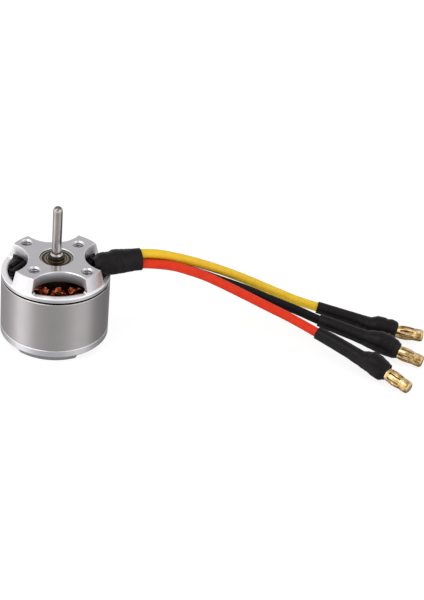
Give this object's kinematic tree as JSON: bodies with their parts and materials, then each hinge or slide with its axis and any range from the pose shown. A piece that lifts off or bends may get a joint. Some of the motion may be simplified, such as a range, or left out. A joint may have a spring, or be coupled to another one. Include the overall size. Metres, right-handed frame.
{
  "type": "brushless outrunner motor",
  "caption": "Small brushless outrunner motor with a turning can and shaft, a fixed four-arm front mount with tapped holes, and three leads that end in gold bullet connectors.",
  "frame": {"origin": "bottom of the rear bell, on the shaft axis", "axes": "+Z along the shaft towards its free end, +X through the window where the leads leave"},
  "size_m": [0.1039, 0.043, 0.0355],
  "materials": {
    "machined_alloy": "satin, turned and milled",
    "plated_can": "satin plated steel",
    "bearing_steel": "ground",
    "cage_brass": "stamped",
    "shield_steel": "pressed",
    "lamination_steel": "stacked sheet",
    "insulator_card": "card",
    "enamelled_copper": "enamelled wire",
    "black_sleeving": "heat-shrink",
    "magnet_nickel": "nickel plated",
    "black_steel": "oxide",
    "polished_steel": "polished",
    "yellow_silicone": "satin silicone",
    "black_silicone": "satin silicone",
    "red_silicone": "satin silicone",
    "gold_plating": "gold plated"
  },
  "bodies": {
    "stator": {"front_mount": "machined_alloy", "front_bearing_outer_race": "bearing_steel", "front_bearing_shields": "shield_steel", "rear_bearing_outer_race": "bearing_steel", "rear_bearing_shields": "shield_steel", "stator_core": "lamination_steel", "upper_insulator": "insulator_card", "lower_insulator": "insulator_card", "phase_a_coils": "enamelled_copper", "phase_b_coils": "enamelled_copper", "phase_c_coils": "enamelled_copper", "phase_lead_sleeves": "black_sleeving", "star_point_sleeves": "black_sleeving", "lead_bundle_sleeve": "black_sleeving", "yellow_wire": "yellow_silicone", "black_wire": "black_silicone", "red_wire": "red_silicone", "yellow_connector_sleeve": "black_sleeving", "black_connector_sleeve": "black_sleeving", "red_connector_sleeve": "black_sleeving", "yellow_bullet_pin": "gold_plating", "black_bullet_pin": "gold_plating", "red_bullet_pin": "gold_plating", "yellow_bullet_spring": "gold_plating", "black_bullet_spring": "gold_plating", "red_bullet_spring": "gold_plating"},
    "rotor": {"flux_ring": "plated_can", "magnets": "magnet_nickel", "rear_bell": "machined_alloy", "bell_grub_screws": "black_steel", "shaft": "polished_steel", "rear_shim_washer": "polished_steel", "shaft_spacer": "black_steel", "shaft_collar": "polished_steel", "front_bearing_inner_race": "bearing_steel", "rear_bearing_inner_race": "bearing_steel"},
    "front_ball_train": {"front_bearing_balls": "bearing_steel", "front_bearing_cage": "cage_brass"},
    "rear_ball_train": {"rear_bearing_balls": "bearing_steel", "rear_bearing_cage": "cage_brass"}
  },
  "joints": [
    {"name": "rotor_spin", "type": "hinge", "parent": "stator", "child": "rotor", "pos_m": [0, 0, 0.01], "axis": [0, 0, 1], "continuous": true},
    {"name": "front_ball_train_spin", "type": "hinge", "parent": "stator", "child": "front_ball_train", "pos_m": [0, 0, 0.019], "axis": [0, 0, 1], "continuous": true},
    {"name": "rear_ball_train_spin", "type": "hinge", "parent": "stator", "child": "rear_ball_train", "pos_m": [0, 0, 0.007], "axis": [0, 0, 1], "continuous": true}
  ],
  "couplings": [
    {"joint": "front_ball_train_spin", "follows": "rotor_spin", "ratio": 0.3738},
    {"joint": "rear_ball_train_spin", "follows": "rotor_spin", "ratio": 0.3738}
  ]
}
